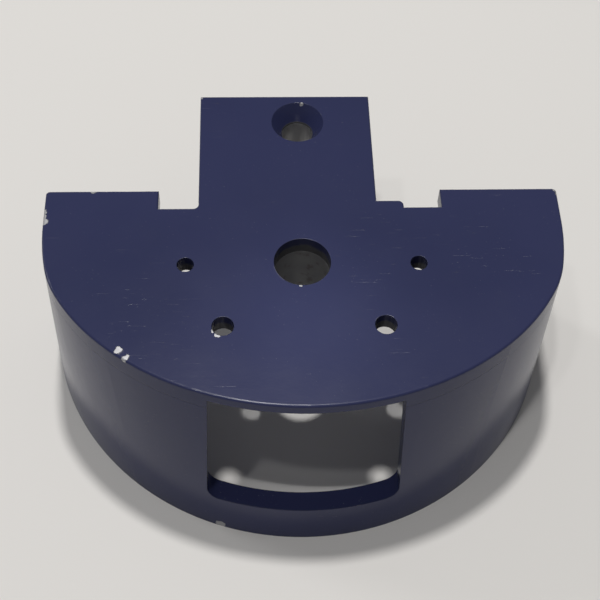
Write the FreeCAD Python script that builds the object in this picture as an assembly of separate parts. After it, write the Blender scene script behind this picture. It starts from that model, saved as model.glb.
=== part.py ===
import FreeCAD, Part
import math
import os

# A half-round camera mount, fabricated from 4 mm plate. A flat deck carries the screw holes and
# a tongue at the back. A wall is bent round the front of the deck and opens out towards the rim
# that it stands on. A window is cut through the front of the wall, just under the deck.
#
# Millimetres. +Z is up, -Y is the front with the window and +Y is the back with the tongue.
# The sizes are laid out from the mount's datum: Z = 0 is the rim that the mount stands on, Y = 0
# is the back edge of the two wings, and X = 0 is the plane of the centre bore, with the screw
# holes evenly on both sides of it. The finished pieces are then moved together, so that the
# origin is the middle of the footprint, on the plane of the rim.

Vector = FreeCAD.Vector
UP = Vector(0, 0, 1)

# Overall shape
height = 42.0                   # from the rim to the top of the deck
plate = 4.0                     # thickness of the deck and of the wall
edge_rounding = 0.45            # along the deck's top edge
corner_rounding = 0.8           # at the back corners of the wings

# The plan outline runs from each side to the front through tangent arcs. The same angles serve
# the deck and the rim, so the wall between them unrolls into a flat strip.
outline_shift_x = 0.6           # the outline sits slightly to one side of the holes
turn_angles = (0.0, 12.0, 30.0, 50.0, 70.0, 90.0)
deck_half_width = 51.0
deck_side_length = 8.3
deck_side_radii = (50.0, 20.7, 44.2, 54.3)
rim_radius = 53.5
rim_side_length = 2.7

# Tongue, and the notches that part it from the wings
tongue_left_x = -20.2
tongue_right_x = 15.2
tongue_end_y = 25.4
notch_outer_x = 28.1
notch_depth = 4.5
notch_corner_rounding = 1.1
land_right_x = 20.6             # a short ledge fills the gap between tongue and right notch
land_y = -2.8

# Holes through the deck
bore_radius = 5.5
bore_y = -17.8
small_hole_radius = 1.65
small_hole_x = 22.45
small_hole_y = -18.3
large_hole_radius = 2.1
large_hole_x = 15.2
large_hole_y = -32.4
tongue_hole_radius = 3.2
tongue_hole_y = 18.1
countersink_radius = 5.4
countersink_half_angle = 31.0   # degrees, from the hole's axis

# Window in the front of the wall
window_top_z = 40.0
window_top_half_width = 18.0
window_sill_z = 9.4
window_sill_half_width = 19.0
window_corner_radius = 2.5

# Tubes welded under the deck
hub_radius = 8.0
hub_length = 14.0
boss_radius = 5.5
boss_length = 8.0

# Fillet welds
skirt_weld_leg = 3.0
skirt_weld_angles = (8.0, 30.0, 52.0)   # stitches on each side, from the side towards the front
skirt_weld_half_angle = 5.0
hub_weld_leg = 2.0
boss_weld_leg = 1.2

deck_bottom_z = height - plate
overshoot = 2.0                 # how far a cutting solid runs past what it cuts
far_out = 90.0                  # beyond the outline in any direction

rim_depth = rim_side_length + rim_radius
origin = Vector(outline_shift_x, (tongue_end_y - rim_depth) / 2, 0)


def mix(at_rim, at_deck, z):
    """Value at height z of a size that changes evenly from the rim to the deck."""
    return at_rim + (at_deck - at_rim) * z / height


def turn_spans():
    """Start and end angle, in radians, of each arc from the side to the front."""
    angles = [math.radians(angle) for angle in turn_angles]
    return list(zip(angles[:-1], angles[1:]))


def deck_radii():
    """The arc radii at the deck; the front one closes the given half width."""
    spans = turn_spans()
    used = sum(
        radius * (math.cos(start) - math.cos(end))
        for radius, (start, end) in zip(deck_side_radii, spans)
    )
    start, end = spans[-1]
    front_radius = (deck_half_width - used) / (math.cos(start) - math.cos(end))
    return list(deck_side_radii) + [front_radius]


def half_arcs(z, inset):
    """The arcs of the +X half of the outline, each as its start, middle and end point."""
    x = mix(rim_radius, deck_half_width, z) - inset
    y = -mix(rim_side_length, deck_side_length, z)
    arcs = []
    for (start, end), radius_at_deck in zip(turn_spans(), deck_radii()):
        radius = mix(rim_radius, radius_at_deck, z) - inset
        centre_x = x - radius * math.cos(start)
        centre_y = y + radius * math.sin(start)
        points = [
            Vector(centre_x + radius * math.cos(angle), centre_y - radius * math.sin(angle), z)
            for angle in (start, (start + end) / 2, end)
        ]
        arcs.append(points)
        x, y = points[-1].x, points[-1].y
    return arcs


def outline(z, inset=0.0, back_y=0.0):
    """Closed plan outline at height z, set in from the outer face by inset."""
    right = half_arcs(z, inset)
    left = [[Vector(-p.x, p.y, p.z) for p in reversed(arc)] for arc in reversed(right)]
    first = Vector(right[0][0].x, back_y, z)
    last = Vector(left[-1][-1].x, back_y, z)
    edges = [Part.makeLine(first, right[0][0])]
    edges += [Part.Arc(*arc).toShape() for arc in right + left]
    edges += [Part.makeLine(left[-1][-1], last), Part.makeLine(last, first)]
    wire = Part.Wire(edges)
    wire.translate(Vector(outline_shift_x, 0, 0))
    return wire


def outline_solid(low_z, high_z, inset=0.0, back_y=0.0):
    """The space inside the outline between two heights."""
    wires = [outline(z, inset, back_y) for z in (low_z, high_z)]
    return Part.makeLoft(wires, True, True)


def box(low, high):
    """Box between two corners given as (x, y, z)."""
    size = [b - a for a, b in zip(low, high)]
    return Part.makeBox(*size, Vector(*low))


def cylinder(radius, x, y, low_z, high_z):
    return Part.makeCylinder(radius, high_z - low_z, Vector(x, y, low_z), UP)


def edges_where(shape, test):
    """Edges whose two ends and centre all pass the test."""
    return [
        edge for edge in shape.Edges
        if len(edge.Vertexes) == 2
        and all(test(p) for p in [v.Point for v in edge.Vertexes] + [edge.CenterOfMass])
    ]


def upright_edges_at(shape, x, y):
    """Edges that rise at one place in the plan."""
    def near(p):
        return abs(p.x - x) < 0.01 and abs(p.y - y) < 0.01
    return edges_where(shape, near)


def back_corner_edges(shape):
    """The outer upright edges at the back ends of the wings."""
    low, high = shape.BoundBox.ZMin, shape.BoundBox.ZMax
    corners = []
    for edge in shape.Edges:
        ends = [v.Point for v in edge.Vertexes]
        if len(ends) != 2 or abs(ends[0].z - ends[1].z) < (high - low) / 2:
            continue
        outward = [abs(p.x - outline_shift_x) - mix(rim_radius, deck_half_width, p.z) for p in ends]
        if max(abs(p.y) for p in ends) < 0.01 and max(abs(d) for d in outward) < 0.01:
            corners.append(edge)
    return corners


def wall_ring(low_z, high_z):
    """The band between the outer face and the inner face of the wall."""
    hollow = outline_solid(low_z, high_z, plate, overshoot)
    return outline_solid(low_z, high_z).cut(hollow)


def window_cutter():
    """Prism of the window: a little wider at the sill, with rounded lower corners."""
    corners = [
        Vector(-window_top_half_width, -far_out, window_top_z),
        Vector(window_top_half_width, -far_out, window_top_z),
        Vector(window_sill_half_width, -far_out, window_sill_z),
        Vector(-window_sill_half_width, -far_out, window_sill_z),
    ]
    face = Part.Face(Part.makePolygon(corners + corners[:1]))
    prism = face.extrude(Vector(0, far_out - notch_outer_x, 0))
    lower = edges_where(prism, lambda p: abs(p.z - window_sill_z) < 0.01)
    lower = [edge for edge in lower if abs(edge.Vertexes[0].X - edge.Vertexes[1].X) < 0.01]
    return prism.makeFillet(window_corner_radius, lower)


def countersunk_cutter():
    """Through hole of the tongue with its cone at the top."""
    depth = (countersink_radius - tongue_hole_radius) / math.tan(math.radians(countersink_half_angle))
    hole = cylinder(tongue_hole_radius, 0, tongue_hole_y, 0, height + overshoot)
    cone_base = Vector(0, tongue_hole_y, height - depth)
    cone = Part.makeCone(tongue_hole_radius, countersink_radius, depth, cone_base, UP)
    return hole.fuse(cone)


def deck_blank():
    """The deck plate before drilling, with its plan corners and top edge rounded."""
    z0, z1 = deck_bottom_z, height
    blank = outline_solid(z0, z1)
    tongue = box((tongue_left_x, -notch_outer_x, z0), (tongue_right_x, tongue_end_y, z1))
    left_notch = box((-notch_outer_x, -notch_depth, z0), (tongue_left_x, overshoot, z1))
    right_notch = box((land_right_x, -notch_depth, z0), (notch_outer_x, overshoot, z1))
    step = box((tongue_right_x, land_y, z0), (land_right_x, overshoot, z1))
    blank = blank.cut([left_notch, right_notch, step]).fuse(tongue).removeSplitter()
    inner = upright_edges_at(blank, tongue_left_x, -notch_depth)
    inner += upright_edges_at(blank, land_right_x, land_y)
    blank = blank.makeFillet(notch_corner_rounding, inner)
    blank = blank.makeFillet(corner_rounding, back_corner_edges(blank))
    top = edges_where(blank, lambda p: abs(p.z - height) < 0.01)
    return blank.makeFillet(edge_rounding, top)


def deck_plate():
    """The deck: drilled, with the window's rebate cut into the underside of its front edge."""
    z0, z1 = deck_bottom_z - overshoot, height + overshoot
    cutters = [cylinder(bore_radius, 0, bore_y, z0, z1), countersunk_cutter()]
    for side in (-1, 1):
        cutters.append(cylinder(small_hole_radius, side * small_hole_x, small_hole_y, z0, z1))
        cutters.append(cylinder(large_hole_radius, side * large_hole_x, large_hole_y, z0, z1))
    rebate = window_cutter().common(wall_ring(deck_bottom_z, height))
    return deck_blank().cut(cutters + [rebate])


def skirt_wall():
    """The bent wall under the deck, with the window through its front."""
    wall = wall_ring(0, deck_bottom_z)
    wall = wall.makeFillet(corner_rounding, back_corner_edges(wall))
    return wall.cut(window_cutter())


def tube(outer_radius, inner_radius, y, length):
    """Round tube that hangs from the underside of the deck."""
    low_z = deck_bottom_z - length
    outer = cylinder(outer_radius, 0, y, low_z, deck_bottom_z)
    return outer.cut(cylinder(inner_radius, 0, y, low_z - overshoot, deck_bottom_z + overshoot))


def centre_hub():
    return tube(hub_radius, bore_radius, bore_y, hub_length)


def tongue_boss():
    return tube(boss_radius, tongue_hole_radius, tongue_hole_y, boss_length)


def ring_weld(tube_radius, y, leg):
    """Fillet weld between a round tube and the underside of the deck."""
    corners = [
        Vector(tube_radius, y, deck_bottom_z),
        Vector(tube_radius + leg, y, deck_bottom_z),
        Vector(tube_radius, y, deck_bottom_z - leg),
    ]
    face = Part.Face(Part.makePolygon(corners + corners[:1]))
    return face.revolve(Vector(0, y, 0), UP, 360)


def hub_weld():
    return ring_weld(hub_radius, bore_y, hub_weld_leg)


def boss_weld():
    return ring_weld(boss_radius, tongue_hole_y, boss_weld_leg)


def stitch_sector(angle):
    """Wedge that keeps one stitch; the angle turns from +X towards the front."""
    centre = Vector(outline_shift_x, 0, 0)
    corners = [centre]
    for step in (-skirt_weld_half_angle, skirt_weld_half_angle):
        turn = math.radians(angle + step)
        corners.append(centre + Vector(far_out * math.cos(turn), -far_out * math.sin(turn), 0))
    face = Part.Face(Part.makePolygon(corners + corners[:1]))
    return face.extrude(Vector(0, 0, height))


def skirt_welds():
    """Stitches of fillet weld in the corner between the wall and the deck."""
    low_z = deck_bottom_z - skirt_weld_leg
    corner = outline_solid(low_z, deck_bottom_z, plate, overshoot)
    sloped = [outline(low_z, plate, far_out), outline(deck_bottom_z, plate + skirt_weld_leg, far_out)]
    bead = corner.cut(Part.makeLoft(sloped, True, True))
    stitches = []
    for angle in skirt_weld_angles:
        for turned in (angle, 180.0 - angle):
            stitches += bead.common(stitch_sector(turned)).Solids
    return Part.makeCompound(stitches)


SUBPARTS = {
    "deck_plate": deck_plate,
    "skirt_wall": skirt_wall,
    "centre_hub": centre_hub,
    "tongue_boss": tongue_boss,
    "skirt_welds": skirt_welds,
    "hub_weld": hub_weld,
    "boss_weld": boss_weld,
}

os.makedirs("parts", exist_ok=True)
for name, make in SUBPARTS.items():
    shape = make()
    shape.translate(origin.negative())
    shape.exportStep("parts/" + name + ".step")
    print(name, "valid", shape.isValid(), "solids", len(shape.Solids), "volume", round(shape.Volume, 1))
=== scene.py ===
"""A navy-painted steel camera mount on a pale studio floor."""
import math

import bmesh
import bpy
from mathutils import Matrix, Vector


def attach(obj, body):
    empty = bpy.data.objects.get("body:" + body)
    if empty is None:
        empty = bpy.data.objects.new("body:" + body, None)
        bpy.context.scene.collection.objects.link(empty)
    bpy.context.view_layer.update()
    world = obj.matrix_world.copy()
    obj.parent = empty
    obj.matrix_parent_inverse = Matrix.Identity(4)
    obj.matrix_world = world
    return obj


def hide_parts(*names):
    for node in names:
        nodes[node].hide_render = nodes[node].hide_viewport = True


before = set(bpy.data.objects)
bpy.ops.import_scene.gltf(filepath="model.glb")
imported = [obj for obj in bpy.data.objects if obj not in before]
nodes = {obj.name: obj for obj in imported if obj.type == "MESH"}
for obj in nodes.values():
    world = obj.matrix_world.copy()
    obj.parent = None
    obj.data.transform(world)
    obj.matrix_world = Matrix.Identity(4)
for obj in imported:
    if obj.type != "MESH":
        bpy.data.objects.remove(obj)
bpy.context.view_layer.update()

MM = 0.001

# Places on the mount, in millimetres from its footprint's centre
BORE_X = -0.6
BORE_Y = -2.4
SMALL_HOLE = (22.45, -2.9, 1.65)        # distance from the bore plane, y, radius
LARGE_HOLE = (15.2, -17.0, 2.1)
TONGUE_HOLE_Y = 33.5
DECK_TOP = 42.0
DECK_UNDERSIDE = 38.0
PLATE = 4.0

# Plan outline: tangent arcs from each side to the front
TURNS = (0.0, 12.0, 30.0, 50.0, 70.0, 90.0)
DECK_RADII = (50.0, 20.7, 44.2, 54.3)
DECK_HALF_WIDTH = 51.0
DECK_SIDE = 8.3
RIM_RADIUS = 53.5
RIM_SIDE = 2.7
WING_BACK_Y = 15.4

# Tubes and welds under the deck
HUB_RADIUS = 8.0
BOSS_RADIUS = 5.5
SKIRT_WELD_LEG = 3.0
HUB_WELD_LEG = 2.0
BOSS_WELD_LEG = 1.2
STITCH_ANGLES = (8.0, 30.0, 52.0)       # degrees, from the side towards the front
STITCH_HALF_ANGLE = 5.0
BEAD_PROFILE = 1.25                     # 1 is a flat fillet, 2 is a round one
BEAD_PROFILE_POINTS = 9

# Lamps stand round this point, in metres
AIM = (0.0, 0.0, 0.02)
OVERHEAD = (-0.150, -0.165, 1.16)
BETWEEN_LARGE_HOLES = (-0.0006, -0.017, 0.042)

BEVEL_SAMPLES = 6


# ---------------------------------------------------------------- shader nodes

class Shader:
    """Builds one material's node tree."""

    def __init__(self, name):
        self.material = bpy.data.materials.new(name)
        self.material.use_nodes = True
        self.tree = self.material.node_tree
        self.tree.nodes.clear()
        self.output = self.tree.nodes.new("ShaderNodeOutputMaterial")
        self.bsdf = self.tree.nodes.new("ShaderNodeBsdfPrincipled")
        self.link(self.bsdf.outputs["BSDF"], self.output.inputs["Surface"])
        self.place = self.tree.nodes.new("ShaderNodeTexCoord").outputs["Object"]

    def link(self, source, target):
        self.tree.links.new(source, target)

    def feed(self, socket, value):
        """Links a socket to another, or sets its value."""
        if isinstance(value, bpy.types.NodeSocket):
            self.link(value, socket)
        else:
            socket.default_value = value

    def math(self, operation, a, b=0.0, clamp=False):
        node = self.tree.nodes.new("ShaderNodeMath")
        node.operation = operation
        node.use_clamp = clamp
        self.feed(node.inputs[0], a)
        self.feed(node.inputs[1], b)
        return node.outputs[0]

    def vector(self, operation, a, b=(0.0, 0.0, 0.0)):
        node = self.tree.nodes.new("ShaderNodeVectorMath")
        node.operation = operation
        self.feed(node.inputs[0], a)
        self.feed(node.inputs[1], b)
        scalar = operation in ("LENGTH", "DOT_PRODUCT", "DISTANCE")
        return node.outputs["Value" if scalar else "Vector"]

    def ramp(self, value, low, high, out_low=0.0, out_high=1.0):
        """Smooth step of a value from low to high."""
        node = self.tree.nodes.new("ShaderNodeMapRange")
        node.interpolation_type = "SMOOTHSTEP"
        self.feed(node.inputs["Value"], value)
        node.inputs["From Min"].default_value = low
        node.inputs["From Max"].default_value = high
        node.inputs["To Min"].default_value = out_low
        node.inputs["To Max"].default_value = out_high
        return node.outputs["Result"]

    def noise(self, scale, detail=3.0, roughness=0.5, place=None):
        node = self.tree.nodes.new("ShaderNodeTexNoise")
        self.feed(node.inputs["Vector"], place or self.place)
        node.inputs["Scale"].default_value = scale
        node.inputs["Detail"].default_value = detail
        node.inputs["Roughness"].default_value = roughness
        return node.outputs["Fac"]

    def noise_vector(self, scale, size):
        """A wander of up to about size metres in each direction."""
        node = self.tree.nodes.new("ShaderNodeTexNoise")
        self.feed(node.inputs["Vector"], self.place)
        node.inputs["Scale"].default_value = scale
        node.inputs["Detail"].default_value = 4.0
        centred = self.vector("SUBTRACT", node.outputs["Color"], (0.5, 0.5, 0.5))
        return self.vector("MULTIPLY", centred, (size, size, size))

    def stretched(self, turn, across, along):
        """Coordinates drawn out along one direction in the plan, for scratches."""
        node = self.tree.nodes.new("ShaderNodeMapping")
        self.feed(node.inputs["Vector"], self.place)
        node.inputs["Rotation"].default_value = (0.0, 0.0, math.radians(turn))
        node.inputs["Scale"].default_value = (along, across, across)
        return node.outputs["Vector"]

    def mix(self, factor, a, b):
        node = self.tree.nodes.new("ShaderNodeMix")
        node.data_type = "RGBA"
        self.feed(node.inputs["Factor"], factor)
        for socket, value in ((node.inputs[6], a), (node.inputs[7], b)):
            if isinstance(value, tuple) and len(value) == 3:
                value = value + (1.0,)
            self.feed(socket, value)
        return node.outputs[2]

    def mix_value(self, factor, a, b):
        node = self.tree.nodes.new("ShaderNodeMix")
        node.data_type = "FLOAT"
        self.feed(node.inputs["Factor"], factor)
        self.feed(node.inputs[2], a)
        self.feed(node.inputs[3], b)
        return node.outputs[0]

    def bevelled_normal(self, radius):
        """The surface's direction, rounded off at edges."""
        bevel = self.tree.nodes.new("ShaderNodeBevel")
        bevel.samples = BEVEL_SAMPLES
        bevel.inputs["Radius"].default_value = radius
        return bevel.outputs["Normal"]

    def edge(self, radius):
        """How far the surface turns within a radius: 0 on flats, rising at edges."""
        geometry = self.tree.nodes.new("ShaderNodeNewGeometry")
        rounded = self.bevelled_normal(radius)
        same = self.vector("DOT_PRODUCT", rounded, geometry.outputs["Normal"])
        return self.math("SUBTRACT", 1.0, same, clamp=True)

    def bump(self, height, distance, strength=1.0, normal=None):
        node = self.tree.nodes.new("ShaderNodeBump")
        self.feed(node.inputs["Height"], height)
        node.inputs["Distance"].default_value = distance
        node.inputs["Strength"].default_value = strength
        if normal:
            self.link(normal, node.inputs["Normal"])
        return node.outputs["Normal"]

    def axes(self):
        node = self.tree.nodes.new("ShaderNodeSeparateXYZ")
        self.link(self.place, node.inputs[0])
        return node.outputs

    def spots(self, places, wander):
        """1 inside any of the small uneven patches (x, y, z, radius), given in millimetres."""
        total = None
        moved = self.vector("ADD", self.place, wander)
        for x, y, z, radius in places:
            away = self.vector("DISTANCE", moved, (x * MM, y * MM, z * MM))
            spot = self.ramp(away, radius * MM, radius * 0.8 * MM)
            total = spot if total is None else self.math("MAXIMUM", total, spot)
        return total


NAVY = (0.0300, 0.0350, 0.0940)
NAVY_DEEP = (0.0265, 0.0315, 0.0860)
CHIP_GREY = (0.36, 0.36, 0.38)
DARK_CHIP = (0.012, 0.012, 0.015)
BARE_DARK = (0.085, 0.085, 0.090)
BARE_LIGHT = (0.140, 0.140, 0.148)

# Paint chips to bare metal: x, y, z and size in millimetres
CHIPS = (
    (-50.9, 7.8, 42.0, 1.0), (-51.0, 9.0, 41.8, 0.8), (-51.0, 10.2, 41.9, 0.7),
    (-41.6, 15.4, 41.9, 0.8), (-39.0, 15.4, 42.0, 0.45),
    (-34.8, -22.0, 41.7, 0.9), (-33.3, -23.6, 41.7, 0.8),
    (51.0, -4.3, 41.9, 0.8), (51.4, 13.9, 41.9, 0.8), (50.9, 15.3, 41.8, 0.7),
    (-17.6, -18.0, 42.0, 0.55), (-16.9, -19.0, 42.0, 0.5),
    (1.9, 1.9, 41.9, 0.5), (-1.1, -7.9, 41.9, 0.45), (0.5, 38.6, 41.9, 0.5),
    (-17.0, -37.6, 0.6, 1.1), (-20.6, 40.5, 41.9, 0.5), (14.5, 40.8, 41.9, 0.45),
)
DARK_CHIPS = (
    (47.0, -20.5, 33.0, 0.9), (46.3, -22.5, 30.5, 0.7), (43.6, -26.0, 33.5, 0.8),
    (-46.8, -18.5, 20.0, 0.6), (-30.5, -33.5, 12.0, 0.5),
)


def navy_paint():
    """Satin enamel with slight orange peel, scuffs, chips at the edges and bare hole walls."""
    s = Shader("navy_enamel")
    drift = s.ramp(s.noise(28.0, 2.0), 0.35, 0.65)
    colour = s.mix(drift, NAVY, NAVY_DEEP)

    # Rubbed haze: faint pale cast in broad patches and along fine scratches
    haze = s.math("MULTIPLY", s.ramp(s.noise(90.0, 5.0, 0.6), 0.52, 0.75), 0.35)
    fine = s.noise(1.0, 2.0, 0.5, s.stretched(24.0, 5200.0, 150.0))
    other = s.noise(1.0, 2.0, 0.5, s.stretched(-51.0, 4600.0, 120.0))
    lines = s.math("MAXIMUM", s.ramp(fine, 0.70, 0.76), s.ramp(other, 0.71, 0.77))
    where = s.ramp(s.noise(60.0, 2.0), 0.50, 0.62)
    scratches = s.math("MULTIPLY", s.math("MULTIPLY", lines, where), 0.5)
    colour = s.mix(s.math("MULTIPLY", haze, 0.30), colour, (0.040, 0.046, 0.090))
    colour = s.mix(s.math("MULTIPLY", scratches, 0.22), colour, (0.12, 0.13, 0.17))

    # Tiny specks of dust and nibs in the paint
    speck_noise = s.noise(2600.0, 1.0)
    speck_areas = s.ramp(s.noise(140.0), 0.42, 0.6)
    specks = s.math("MULTIPLY", s.ramp(speck_noise, 0.735, 0.765), speck_areas)
    colour = s.mix(s.math("MULTIPLY", specks, 0.35), colour, (0.16, 0.17, 0.21))

    # Wear where the edges have been rubbed, broken up by noise
    edge = s.ramp(s.edge(0.45 * MM), 0.015, 0.12)
    patchy = s.ramp(s.noise(230.0, 5.0, 0.65), 0.56, 0.63)
    seldom = s.ramp(s.noise(52.0, 2.0), 0.50, 0.62)
    worn = s.math("MULTIPLY", s.math("MULTIPLY", edge, patchy), seldom)
    soft_edge = s.math("MULTIPLY", edge, 0.35)
    colour = s.mix(soft_edge, colour, (0.033, 0.039, 0.085))
    colour = s.mix(s.math("MULTIPLY", worn, 0.75), colour, (0.17, 0.17, 0.19))

    # The larger chips
    wander = s.noise_vector(850.0, 1.3 * MM)
    chips = s.spots(CHIPS, wander)
    dark = s.spots(DARK_CHIPS, wander)
    chip_tone = s.mix(s.noise(1400.0, 3.0), CHIP_GREY, (0.50, 0.50, 0.51))
    colour = s.mix(dark, colour, DARK_CHIP)
    colour = s.mix(chips, colour, chip_tone)

    # Walls of the holes: overspray near the top, bare steel lower down. The holes are even on
    # both sides of the bore plane, so one distance from that plane serves each pair.
    axes = s.axes()
    off_plane = s.math("ABSOLUTE", s.math("SUBTRACT", axes[0], BORE_X * MM))
    walls = None
    for x, y, radius in ((0.0, BORE_Y, 5.5), SMALL_HOLE, LARGE_HOLE, (0.0, TONGUE_HOLE_Y, 3.2)):
        dx = s.math("SUBTRACT", off_plane, x * MM)
        dy = s.math("SUBTRACT", axes[1], y * MM)
        squared = s.math("ADD", s.math("MULTIPLY", dx, dx), s.math("MULTIPLY", dy, dy))
        away = s.math("SQRT", squared)
        wall = s.ramp(away, (radius + 0.12) * MM, (radius + 0.06) * MM)
        walls = wall if walls is None else s.math("MAXIMUM", walls, wall)
    unevenness = s.math("MULTIPLY", s.math("SUBTRACT", s.noise(420.0, 3.0), 0.5), 1.6 * MM)
    level = s.math("ADD", axes[2], unevenness)
    bare = s.math("MULTIPLY", walls, s.ramp(level, 40.4 * MM, 39.4 * MM))
    steel = s.mix(s.noise(900.0, 4.0), BARE_DARK, BARE_LIGHT)
    colour = s.mix(bare, colour, steel)

    s.link(colour, s.bsdf.inputs["Base Color"])
    rough = s.math("ADD", 0.17, s.math("MULTIPLY", s.noise(75.0, 4.0, 0.6), 0.10))
    rough = s.math("ADD", rough, s.math("MULTIPLY", scratches, 0.15))
    rough = s.mix_value(s.math("MAXIMUM", chips, worn), rough, 0.46)
    s.link(rough, s.bsdf.inputs["Roughness"])
    metal = s.math("MULTIPLY", s.math("MAXIMUM", chips, s.math("MULTIPLY", bare, 0.5)), 0.6)
    s.link(metal, s.bsdf.inputs["Metallic"])
    s.bsdf.inputs["Specular IOR Level"].default_value = 0.25

    soft_corners = s.bevelled_normal(0.22 * MM)
    peel = s.bump(s.noise(620.0, 2.0, 0.45), 0.018 * MM, 0.5, soft_corners)
    grain = s.bump(s.noise(3400.0, 2.0), 0.012 * MM, 0.5, peel)
    marks = s.math("ADD", s.math("MULTIPLY", s.math("MAXIMUM", chips, dark), 1.0),
                   s.math("MULTIPLY", s.math("ADD", worn, scratches), 0.15))
    pits = s.bump(marks, -0.12 * MM, 1.0, grain)
    s.link(pits, s.bsdf.inputs["Normal"])
    return s.material


def bare_steel():
    """Dull turned steel: fine rings, a little staining."""
    s = Shader("dull_steel")
    tone = s.mix(s.noise(160.0, 5.0, 0.6), (0.30, 0.30, 0.31), (0.42, 0.42, 0.42))
    stain = s.ramp(s.noise(420.0, 4.0), 0.56, 0.7)
    tone = s.mix(s.math("MULTIPLY", stain, 0.5), tone, (0.17, 0.14, 0.12))
    edge = s.ramp(s.edge(0.35 * MM), 0.02, 0.15)
    worn = s.math("MULTIPLY", edge, s.ramp(s.noise(500.0), 0.45, 0.6))
    tone = s.mix(s.math("MULTIPLY", worn, 0.6), tone, (0.52, 0.52, 0.53))
    s.link(tone, s.bsdf.inputs["Base Color"])
    s.bsdf.inputs["Metallic"].default_value = 0.55
    s.link(s.ramp(s.noise(240.0, 4.0), 0.3, 0.7, 0.42, 0.60), s.bsdf.inputs["Roughness"])
    rings = s.tree.nodes.new("ShaderNodeTexWave")
    rings.bands_direction = "Z"
    s.link(s.place, rings.inputs["Vector"])
    rings.inputs["Scale"].default_value = 900.0
    rings.inputs["Distortion"].default_value = 1.2
    turned = s.bump(rings.outputs["Fac"], 0.02 * MM, 0.35, s.bevelled_normal(0.25 * MM))
    s.link(s.bump(s.noise(1500.0, 3.0), 0.02 * MM, 0.5, turned), s.bsdf.inputs["Normal"])
    return s.material


def painted_weld():
    """Navy paint over weld metal, thin and scorched in places."""
    s = Shader("painted_weld_bead")
    tone = s.mix(s.noise(210.0, 4.0, 0.6), NAVY, (0.026, 0.029, 0.050))
    thin = s.ramp(s.noise(620.0, 4.0, 0.6), 0.60, 0.68)
    tone = s.mix(s.math("MULTIPLY", thin, 0.7), tone, (0.12, 0.115, 0.115))
    s.link(tone, s.bsdf.inputs["Base Color"])
    s.link(s.ramp(s.noise(300.0, 3.0), 0.3, 0.7, 0.34, 0.55), s.bsdf.inputs["Roughness"])
    s.link(s.bump(s.noise(1700.0, 3.0), 0.04 * MM, 0.6), s.bsdf.inputs["Normal"])
    return s.material


def studio_floor():
    """Matt pale floor with the faintest mottling."""
    s = Shader("pale_floor")
    tone = s.mix(s.noise(9.0, 4.0), (0.800, 0.785, 0.758), (0.815, 0.800, 0.775))
    s.link(tone, s.bsdf.inputs["Base Color"])
    s.bsdf.inputs["Roughness"].default_value = 0.85
    s.bsdf.inputs["Specular IOR Level"].default_value = 0.2
    s.link(s.bump(s.noise(900.0, 3.0), 0.03 * MM, 0.3), s.bsdf.inputs["Normal"])
    return s.material


# ---------------------------------------------------------------- weld beads

def half_outline(z, inset, steps):
    """Points and inward directions along the +X half of the plan outline at height z."""
    share = z / DECK_TOP
    spans = [(math.radians(a), math.radians(b)) for a, b in zip(TURNS[:-1], TURNS[1:])]
    radii = list(DECK_RADII)
    used = sum(r * (math.cos(a) - math.cos(b)) for r, (a, b) in zip(radii, spans))
    radii.append((DECK_HALF_WIDTH - used) / (math.cos(spans[-1][0]) - math.cos(spans[-1][1])))
    x = RIM_RADIUS + (DECK_HALF_WIDTH - RIM_RADIUS) * share - inset
    y = WING_BACK_Y - (RIM_SIDE + (DECK_SIDE - RIM_SIDE) * share)
    points = []
    for (start, end), radius in zip(spans, radii):
        radius = RIM_RADIUS + (radius - RIM_RADIUS) * share - inset
        centre = (x - radius * math.cos(start), y + radius * math.sin(start))
        for k in range(steps):
            angle = start + (end - start) * k / steps
            outward = Vector((math.cos(angle), -math.sin(angle), 0.0))
            points.append((Vector((centre[0], centre[1], z)) + outward * radius, -outward))
        x = centre[0] + radius * math.cos(end)
        y = centre[1] - radius * math.sin(end)
    return points


def stitch_path(angle, half_angle, side):
    """The corner line of one stitch, found by its bearing from the middle of the wings' edge."""
    path = []
    for place, inward in half_outline(DECK_UNDERSIDE, PLATE, 60):
        bearing = math.degrees(math.atan2(WING_BACK_Y - place.y, place.x))
        if abs(bearing - angle) <= half_angle:
            mirrored = Vector((side * place.x, place.y, place.z))
            path.append((mirrored, Vector((side * inward.x, inward.y, 0.0))))
    return path


def ring_path(y, radius, steps):
    """The corner line round a tube under the deck."""
    path = []
    for k in range(steps):
        angle = math.tau * k / steps
        outward = Vector((math.cos(angle), math.sin(angle), 0.0))
        path.append((Vector((BORE_X, y, DECK_UNDERSIDE)) + outward * radius, outward))
    return path


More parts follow.
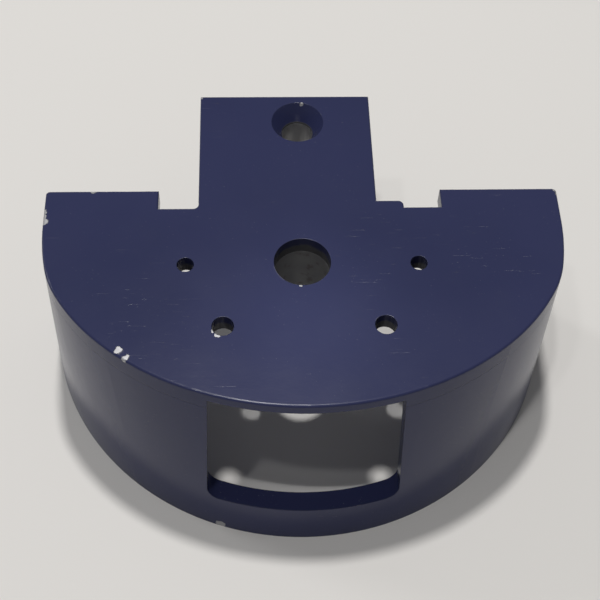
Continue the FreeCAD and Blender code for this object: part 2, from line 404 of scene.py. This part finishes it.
def bead_mesh(path, leg, pitch, closed, vertices, faces):
    """Adds one rippled fillet bead that fills the corner along a path, in millimetres."""
    arc = BEAD_PROFILE_POINTS
    first = len(vertices)
    travelled = 0.0
    lengths = [0.0]
    for (a, _), (b, _) in zip(path[:-1], path[1:]):
        travelled += (b - a).length
        lengths.append(travelled)
    total = travelled + ((path[0][0] - path[-1][0]).length if closed else 0.0)
    if closed:
        pitch = total / round(total / pitch)
    for (place, along_deck), s in zip(path, lengths):
        taper = 1.0
        if not closed:
            end = min(s, total - s) / (1.3 * leg)
            taper = math.sqrt(max(0.0, 1.0 - (1.0 - min(end, 1.0)) ** 2))
            taper = max(taper, 0.12)
        vertices.append(place)
        for k in range(arc):
            turn = math.pi / 2 * k / (arc - 1)
            lag = 0.55 * pitch * math.sin(2 * turn)
            ripple = abs(math.sin(math.pi * (s + lag) / pitch))
            swell = 0.90 + 0.10 * ripple
            across = math.cos(turn) ** BEAD_PROFILE + math.sin(turn) ** BEAD_PROFILE
            sag = across ** (-1 / BEAD_PROFILE)
            reach = leg * taper * (sag * (swell if 0 < k < arc - 1 else 0.97))
            down = Vector((0.0, 0.0, -reach * math.sin(turn)))
            vertices.append(place + along_deck * (reach * math.cos(turn)) + down)
    ring = arc + 1
    count = len(path)
    for i in range(count if closed else count - 1):
        j = (i + 1) % count
        for k in range(ring):
            m = (k + 1) % ring
            a, b = first + i * ring, first + j * ring
            faces.append((a + k, b + k, b + m, a + m))
    if not closed:
        faces.append(tuple(first + k for k in range(ring)))
        faces.append(tuple(first + (count - 1) * ring + k for k in reversed(range(ring))))


def add_beads(name, beads, leg, pitch, closed, replaced, material):
    """One object holding rippled beads, in place of a CAD weld node."""
    vertices, faces = [], []
    for path in beads:
        bead_mesh(path, leg, pitch, closed, vertices, faces)
    mesh = bpy.data.meshes.new(name)
    mesh.from_pydata([v * MM for v in vertices], [], faces)
    mesh.update()
    work = bmesh.new()
    work.from_mesh(mesh)
    bmesh.ops.recalc_face_normals(work, faces=work.faces)
    work.to_mesh(mesh)
    work.free()
    mesh.polygons.foreach_set("use_smooth", [True] * len(mesh.polygons))
    piece = bpy.data.objects.new(name, mesh)
    bpy.context.scene.collection.objects.link(piece)
    mesh.materials.append(material)
    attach(piece, "root")
    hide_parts(replaced)
    return piece


# ---------------------------------------------------------------- the mount

def dress(node, material):
    """Puts a material on every slot of a CAD node."""
    piece = nodes[node]
    if not piece.material_slots:
        piece.data.materials.append(material)
    for material_slot in piece.material_slots:
        material_slot.material = material


enamel = navy_paint()
steel = bare_steel()
weld_paint = painted_weld()
for node in ("deck_plate", "skirt_wall"):
    dress(node, enamel)
for node in ("centre_hub", "tongue_boss"):
    dress(node, steel)

stitches = [
    stitch_path(angle, STITCH_HALF_ANGLE, side) for angle in STITCH_ANGLES for side in (-1, 1)
]
hub_ring = [ring_path(BORE_Y, HUB_RADIUS, 240)]
boss_ring = [ring_path(TONGUE_HOLE_Y, BOSS_RADIUS, 200)]
add_beads("skirt_weld_beads", stitches, SKIRT_WELD_LEG, 1.3, False, "skirt_welds", weld_paint)
add_beads("hub_weld_bead", hub_ring, HUB_WELD_LEG, 1.1, True, "hub_weld", weld_paint)
add_beads("boss_weld_bead", boss_ring, BOSS_WELD_LEG, 0.8, True, "boss_weld", weld_paint)


# ---------------------------------------------------------------- studio

def add_floor():
    """Large flat floor at the height of the rim."""
    mesh = bpy.data.meshes.new("studio_floor")
    reach = 6.0
    corners = [(-reach, -reach, 0), (reach, -reach, 0), (reach, reach, 0), (-reach, reach, 0)]
    mesh.from_pydata(corners, [], [(0, 1, 2, 3)])
    floor = bpy.data.objects.new("studio_floor", mesh)
    bpy.context.scene.collection.objects.link(floor)
    mesh.materials.append(studio_floor())


def hang(name, lamp, place, aim):
    """Puts a lamp in the scene so that it faces a point."""
    lamp_object = bpy.data.objects.new(name, lamp)
    lamp_object.location = place
    lamp_object.rotation_euler = (Vector(aim) - Vector(place)).to_track_quat("-Z", "Y").to_euler()
    bpy.context.scene.collection.objects.link(lamp_object)


def add_lamp(name, place, size, watts, colour=(1.0, 1.0, 1.0)):
    """Round area lamp over the mount."""
    lamp = bpy.data.lights.new(name, "AREA")
    lamp.shape = "DISK"
    lamp.size = size
    lamp.energy = watts
    lamp.color = colour
    hang(name, lamp, place, AIM)


def add_spot(name, place, aim, cone, watts):
    """Narrow, soft-edged spot lamp."""
    lamp = bpy.data.lights.new(name, "SPOT")
    lamp.spot_size = math.radians(cone)
    lamp.spot_blend = 0.6
    lamp.shadow_soft_size = 0.012
    lamp.energy = watts
    hang(name, lamp, place, aim)


def add_world(strength):
    """Even, slightly cool light from all round."""
    world = bpy.data.worlds.new("soft_studio")
    world.use_nodes = True
    background = world.node_tree.nodes["Background"]
    background.inputs["Color"].default_value = (0.985, 0.985, 1.0, 1.0)
    background.inputs["Strength"].default_value = strength
    bpy.context.scene.world = world


def add_camera():
    """Looks down at the mount from in front, turned and rolled by a few degrees."""
    downward, turn, roll = math.radians(55.737), math.radians(3.704), math.radians(2.521)
    ahead = Vector((math.sin(turn), math.cos(turn), 0.0))
    forward = ahead * math.cos(downward) + Vector((0.0, 0.0, -math.sin(downward)))
    level = Vector((math.cos(turn), -math.sin(turn), 0.0))
    upward = level.cross(forward)
    right = level * math.cos(roll) + upward * math.sin(roll)
    top = upward * math.cos(roll) - level * math.sin(roll)
    place = Vector((-0.00998, -0.14497, 0.23863))
    data = bpy.data.cameras.new("camera")
    data.lens = 75.9
    data.sensor_width = 36.0
    data.clip_start = 0.005
    camera = bpy.data.objects.new("camera", data)
    turned = Matrix((right, top, -forward)).transposed().to_4x4()
    camera.matrix_world = Matrix.Translation(place) @ turned
    bpy.context.scene.collection.objects.link(camera)
    bpy.context.scene.camera = camera


add_floor()
add_world(0.165)
add_lamp("overhead_lamp", OVERHEAD, 0.05, 1.7, (1.0, 0.99, 0.98))
add_lamp("rear_lamp", (-0.02, 0.240, 1.02), 0.07, 5.4, (1.0, 0.985, 0.965))
add_lamp("side_lamp", (-1.05, 0.60, 1.05), 0.30, 2.4)
add_spot("hole_spot", OVERHEAD, BETWEEN_LARGE_HOLES, 1.9, 14.0)
add_lamp("front_lamp", (-0.26, -0.24, 1.00), 0.05, 0.5)
add_camera()

scene = bpy.context.scene
scene.view_settings.view_transform = "Standard"
